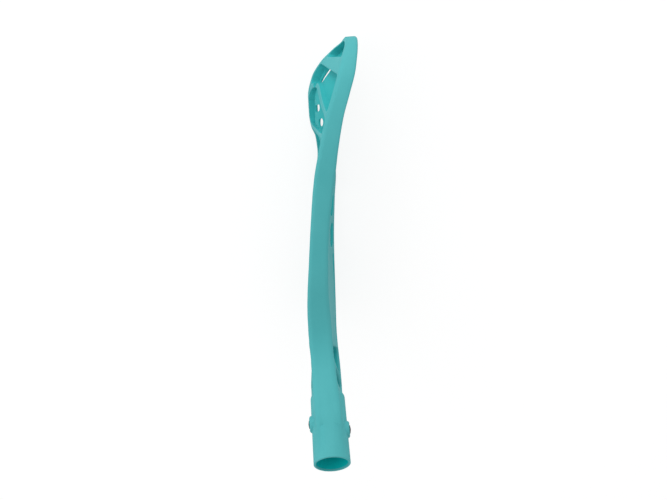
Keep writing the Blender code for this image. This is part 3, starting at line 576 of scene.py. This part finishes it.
# The neck: a slim hollow cone that holds the shaft's end, moulded in one with the plate. Its crown is flush
# with the rim's strip, and a round boss stands on each side of it for a screw.
NECK_SIDES = 112
FOOT_RADIUS = 13.5 * MM
FOOT_ROUNDING = 6.0 * MM
FOOT_STEPS = 12
MOUTH_RADIUS = 14.32 * MM
MOUTH_ROUNDING = 0.5 * MM
MOUTH_STEPS = 4
# The crown is cut off flush with the strip, and fades out between these distances from the mouth
CROWN = NECK_RIM_SIDE + 0.02 * MM
CROWN_FADE = (31.0 * MM, 26.5 * MM)
CROWN_END_LIFT = 0.1 * MM
# The socket, from its floor to its mouth, where a lead-in guides the shaft. LEAD_IN_RUN is how many times as
# long as the lead-in the cone is that cuts it.
SOCKET_DEPTH = 58.0 * MM
SOCKET_FLOOR = 3.0 * MM
BORE_RADIUS = (11.9 * MM, 12.4 * MM)
BORE_FLOOR_CORNER = 1.0 * MM
LEAD_IN_DEPTH = 1.3 * MM
LEAD_IN_WIDTH = 0.5 * MM
LEAD_IN_RUN = 1.5
# Bosses, by their distance from the neck's axis, and the screws' places from the mouth on either side
BOSS_RADIUS = 6.8 * MM
BOSS_FOOT = 10.5 * MM
BOSS_FOOT_RADIUS = 7.9 * MM
BOSS_FACE = 15.5 * MM
BOSS_ROUNDING = 2.0 * MM
BOSS_ROUNDING_STEPS = 4
SCREW_FROM_MOUTH = {1: 28.0 * MM, -1: 34.5 * MM}
# The screws' sizes and the room that their holes leave them
HEAD_SEAT = 14.4 * MM
HEAD_RADIUS = 3.3 * MM
THREAD_RADIUS = 1.75 * MM
SEAT_GAP = 0.15 * MM
HEAD_CLEARANCE = 0.35 * MM
THREAD_CLEARANCE = 0.2 * MM
HOLE_SIDES = 60
# What lies closer together than this is one point, on the turned solids and on the finished moulding
POLE_MERGE = 0.005 * MM
SEAM_MERGE = 0.004 * MM
# An edge that turns by more than this stays sharp to the eye
SHARP_EDGE = math.radians(38.0)
# From the neck's foot to the part's own origin, under the middle of its box
TO_ORIGIN = Vector((0.080464, -0.013843, 0.000035))


def arc(centre, radius, first, last, count):
    """Points along an arc, as (radius, height) for turning."""
    points = []
    for step in range(count + 1):
        angle = math.radians(first + (last - first) * step / count)
        points.append((centre[0] + radius * math.cos(angle), centre[1] + radius * math.sin(angle)))
    return points


def turned(name, profile, steps, place):
    """A closed solid of revolution about Z from (radius, height) points, put in its place."""
    mesh = bpy.data.meshes.new(name)
    mesh.from_pydata([(radius, 0.0, height) for radius, height in profile],
                     [(index, index + 1) for index in range(len(profile) - 1)], [])
    item = bpy.data.objects.new(name, mesh)
    bpy.context.scene.collection.objects.link(item)
    only(item)
    bpy.ops.object.mode_set(mode="EDIT")
    bpy.ops.mesh.select_all(action="SELECT")
    bpy.ops.mesh.spin(steps=steps, angle=2.0 * math.pi, center=(0, 0, 0), axis=(0, 0, 1))
    bpy.ops.mesh.select_all(action="SELECT")
    bpy.ops.mesh.remove_doubles(threshold=POLE_MERGE)
    bpy.ops.mesh.normals_make_consistent(inside=False)
    bpy.ops.object.mode_set(mode="OBJECT")
    mesh.transform(place)
    return item


mouth_centre = neck_point(0.0)
neck_lean = Matrix.Rotation(math.pi / 2.0 - NECK_ANGLE, 4, "Y")
neck_place = Matrix.Translation(mouth_centre) @ neck_lean
foot = -SOCKET_DEPTH - SOCKET_FLOOR
tube = [(0.0, foot)]
tube += arc((FOOT_RADIUS - FOOT_ROUNDING, foot + FOOT_ROUNDING), FOOT_ROUNDING, -90, 0, FOOT_STEPS)
tube += arc((MOUTH_RADIUS - MOUTH_ROUNDING, -MOUTH_ROUNDING), MOUTH_ROUNDING, 0, 90, MOUTH_STEPS)
tube += [(0.0, 0.0)]
cut(moulding, [turned("tube", tube, NECK_SIDES, neck_place)], "UNION")
fade_start, fade_end = CROWN_FADE
crown_end = SOCKET_DEPTH + OVER
section = ((fade_start, CROWN), (fade_end, MOUTH_RADIUS + CROWN_END_LIFT), (fade_end, CROWN + OVER),
           (crown_end, CROWN + OVER), (crown_end, CROWN))
crown_line = [neck_point(away, off) for away, off in section]
cut(moulding, [slab("crown", crown_line, -MOUTH_RADIUS, MOUTH_RADIUS)])


def screw_place(side):
    """From a screw's own frame, Z out of the boss, to the blade's."""
    turn = Matrix.Rotation(-side * math.pi / 2, 4, "X")
    return Matrix.Translation(neck_point(SCREW_FROM_MOUTH[side])) @ neck_lean @ turn


boss = [(0.0, BOSS_FOOT), (BOSS_FOOT_RADIUS, BOSS_FOOT)]
boss_edge = (BOSS_RADIUS - BOSS_ROUNDING, BOSS_FACE - BOSS_ROUNDING)
boss += arc(boss_edge, BOSS_ROUNDING, 0, 90, BOSS_ROUNDING_STEPS)
boss += [(0.0, BOSS_FACE)]
for side in (1, -1):
    cut(moulding, [turned("boss", boss, NECK_SIDES // 2, screw_place(side))], "UNION")

# The socket's inside is painted shade: a deeper, matt turquoise with hardly any red, as the deep bore looks
# in shadow. The lead-in's cone runs on past the mouth's plane, because an edge just in that plane would leave
# slivers.
BORE_PAINTED_SHADE = grained("turquoise_plastic_core_painted_shade", colours=((0.0005, 0.44, 0.45), (0.001, 0.47, 0.48)),
                    roughness=(0.7, 0.8), shine=0.06, grain_scale=2600.0, grain_depth=0.02 * MM)
floor_radius, mouth_bore = BORE_RADIUS
lead_in_end = mouth_bore + LEAD_IN_RUN * LEAD_IN_WIDTH
bore = [(0.0, -SOCKET_DEPTH), (floor_radius - BORE_FLOOR_CORNER, -SOCKET_DEPTH)]
bore += [(floor_radius, -SOCKET_DEPTH + BORE_FLOOR_CORNER), (mouth_bore, -LEAD_IN_DEPTH)]
bore += [(lead_in_end, (LEAD_IN_RUN - 1.0) * LEAD_IN_DEPTH), (lead_in_end, OVER), (0.0, OVER)]
cut(moulding, [turned("bore", bore, NECK_SIDES, neck_place)], finish_or_shade=BORE_PAINTED_SHADE)
# The lead-in and the mouth's end keep the outside's colour, without the bore's painted shade
for face in moulding.data.polygons:
    if (face.center - mouth_centre).dot(NECK_AXIS) > -LEAD_IN_DEPTH:
        face.material_index = 0

# A hole for the thread and a well for the head on each side
hole = THREAD_RADIUS + THREAD_CLEARANCE
well = HEAD_RADIUS + HEAD_CLEARANCE
seat = HEAD_SEAT - SEAT_GAP
well_top = BOSS_FACE + OVER
hole_line = [(0.0, 0.0), (hole, 0.0), (hole, seat), (well, seat), (well, well_top), (0.0, well_top)]
for side in (1, -1):
    cut(moulding, [turned("hole", hole_line, HOLE_SIDES, screw_place(side))])

moulding.data.transform(Matrix.Translation(TO_ORIGIN))
moulding.name = "blade_moulding_shell"
only(moulding)
bpy.ops.object.mode_set(mode="EDIT")
bpy.ops.mesh.select_all(action="SELECT")
bpy.ops.mesh.remove_doubles(threshold=SEAM_MERGE)
bpy.ops.mesh.dissolve_degenerate(threshold=SEAM_MERGE)
bpy.ops.mesh.select_all(action="SELECT")
bpy.ops.mesh.normals_make_consistent(inside=False)
bpy.ops.object.mode_set(mode="OBJECT")
bpy.ops.object.shade_smooth_by_angle(angle=SHARP_EDGE)

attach(moulding, "blade")
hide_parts("blade_moulding")

# The two fixing screws: self-tapping pan heads of steel with a black phosphate finish, driven into the
# bosses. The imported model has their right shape, so its screws stay and only get their finish here.
BLACK_STEEL = grained("dark_steel_phosphated", colours=((0.006, 0.005, 0.005), (0.018, 0.015, 0.013)),
                      roughness=(0.7, 0.82), shine=0.12, grain_scale=5200.0, grain_depth=0.02 * MM)
for name in ("front_screw", "back_screw"):
    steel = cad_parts[name].data.materials
    for place in range(len(steel)):
        steel[place] = BLACK_STEEL

# The studio's floor: plain and pale, it lights the blade as a light grey board would. The camera sees a dark
# grey, which takes the blade's soft shadow, under an even glow that makes it white.
FLOOR_HALF = 3.0
FLOOR_GREY = (0.8, 0.8, 0.8, 1.0)
SHADOW_GREY = (0.2, 0.2, 0.2, 1.0)
WHITE = (1.0, 1.0, 1.0, 1.0)
FLOOR_GLOW = 0.83
floor_corners = [(FLOOR_HALF * x, FLOOR_HALF * y, 0.0) for x, y in ((-1, -1), (1, -1), (1, 1), (-1, 1))]
floor_mesh = bpy.data.meshes.new("floor")
floor_mesh.from_pydata(floor_corners, [], [(0, 1, 2, 3)])
floor = bpy.data.objects.new("floor", floor_mesh)
bpy.context.scene.collection.objects.link(floor)


def seen_directly(material_or_world):
    """1 for rays from the camera and for reflections, so that what they meet can be plain white."""
    path = material_or_world.node_tree.nodes.new("ShaderNodeLightPath")
    link = material_or_world.node_tree.links.new
    most = path.outputs["Is Camera Ray"]
    for other in ("Is Glossy Ray", "Is Transmission Ray"):
        either = material_or_world.node_tree.nodes.new("ShaderNodeMath")
        either.operation = "MAXIMUM"
        link(most, either.inputs[0])
        link(path.outputs[other], either.inputs[1])
        most = either.outputs[0]
    return most


floor_paint = bpy.data.materials.new("floor_paint")
floor_paint.use_nodes = True
tree = floor_paint.node_tree
tree.nodes.remove(tree.nodes["Principled BSDF"])
matt = node(floor_paint, "ShaderNodeBsdfDiffuse", Color=FLOOR_GREY)
shaded = node(floor_paint, "ShaderNodeBsdfDiffuse", Color=SHADOW_GREY)
white = node(floor_paint, "ShaderNodeEmission", Color=WHITE, Strength=FLOOR_GLOW)
bright = tree.nodes.new("ShaderNodeAddShader")
tree.links.new(shaded.outputs[0], bright.inputs[0])
tree.links.new(white.outputs[0], bright.inputs[1])
choice = tree.nodes.new("ShaderNodeMixShader")
tree.links.new(seen_directly(floor_paint), choice.inputs[0])
tree.links.new(matt.outputs[0], choice.inputs[1])
tree.links.new(bright.outputs[0], choice.inputs[2])
tree.links.new(choice.outputs[0], tree.nodes["Material Output"].inputs["Surface"])
floor_mesh.materials.append(floor_paint)

# The light: an even white surround that is plain white where it is seen, and two large soft lamps. One
# stands beyond the toe and one on the backhand side, both aimed at the blade.
SURROUND_STRENGTH = 0.74
# Lamps, as name, place and size in metres, and power in watts
LAMPS = (("lamp_beyond_toe", (-1.1, 0.0, 0.4), 0.7, 5.4), ("lamp_behind", (0.1, -1.2, 0.6), 1.3, 4.6))
world = bpy.data.worlds.new("surround")
bpy.context.scene.world = world
world.use_nodes = True
tree = world.node_tree
soft = tree.nodes["Background"]
soft.inputs["Color"].default_value = WHITE
soft.inputs["Strength"].default_value = SURROUND_STRENGTH
white = node(world, "ShaderNodeBackground", Color=WHITE, Strength=1.0)
choice = tree.nodes.new("ShaderNodeMixShader")
tree.links.new(seen_directly(world), choice.inputs[0])
tree.links.new(soft.outputs[0], choice.inputs[1])
tree.links.new(white.outputs[0], choice.inputs[2])
tree.links.new(choice.outputs[0], tree.nodes["World Output"].inputs["Surface"])

for name, place, size, power in LAMPS:
    lamp = bpy.data.lights.new(name, "AREA")
    lamp.size = size
    lamp.energy = power
    holder = bpy.data.objects.new(name, lamp)
    holder.location = place
    holder.rotation_euler = (-Vector(place)).to_track_quat("-Z", "Y").to_euler()
    bpy.context.scene.collection.objects.link(holder)

# The camera: it looks down on the blade from 70 degrees and a little from the toe's side, with the toe at
# the top of the picture and the mouth nearest to its lower edge. Places and directions are in metres.
SENSOR_WIDTH = 36.0
FOCAL_LENGTH = 77.1691
AIM = Vector((-0.003836, -0.000243, 0.070033))
DISTANCE = 1.1
TOWARDS_CAMERA = Vector((-0.34411528, 0.0, 0.9389274))
PICTURE_UP = Vector((-0.93616004, 0.07672052, -0.34310105))
camera = bpy.data.cameras.new("camera")
camera.sensor_width = SENSOR_WIDTH
camera.lens = FOCAL_LENGTH
holder = bpy.data.objects.new("camera", camera)
picture_axes = Matrix((PICTURE_UP.cross(TOWARDS_CAMERA), PICTURE_UP, TOWARDS_CAMERA)).transposed()
holder.matrix_world = Matrix.Translation(AIM + DISTANCE * TOWARDS_CAMERA) @ picture_axes.to_4x4()
bpy.context.scene.collection.objects.link(holder)
bpy.context.scene.camera = holder
bpy.context.scene.view_settings.view_transform = "Standard"
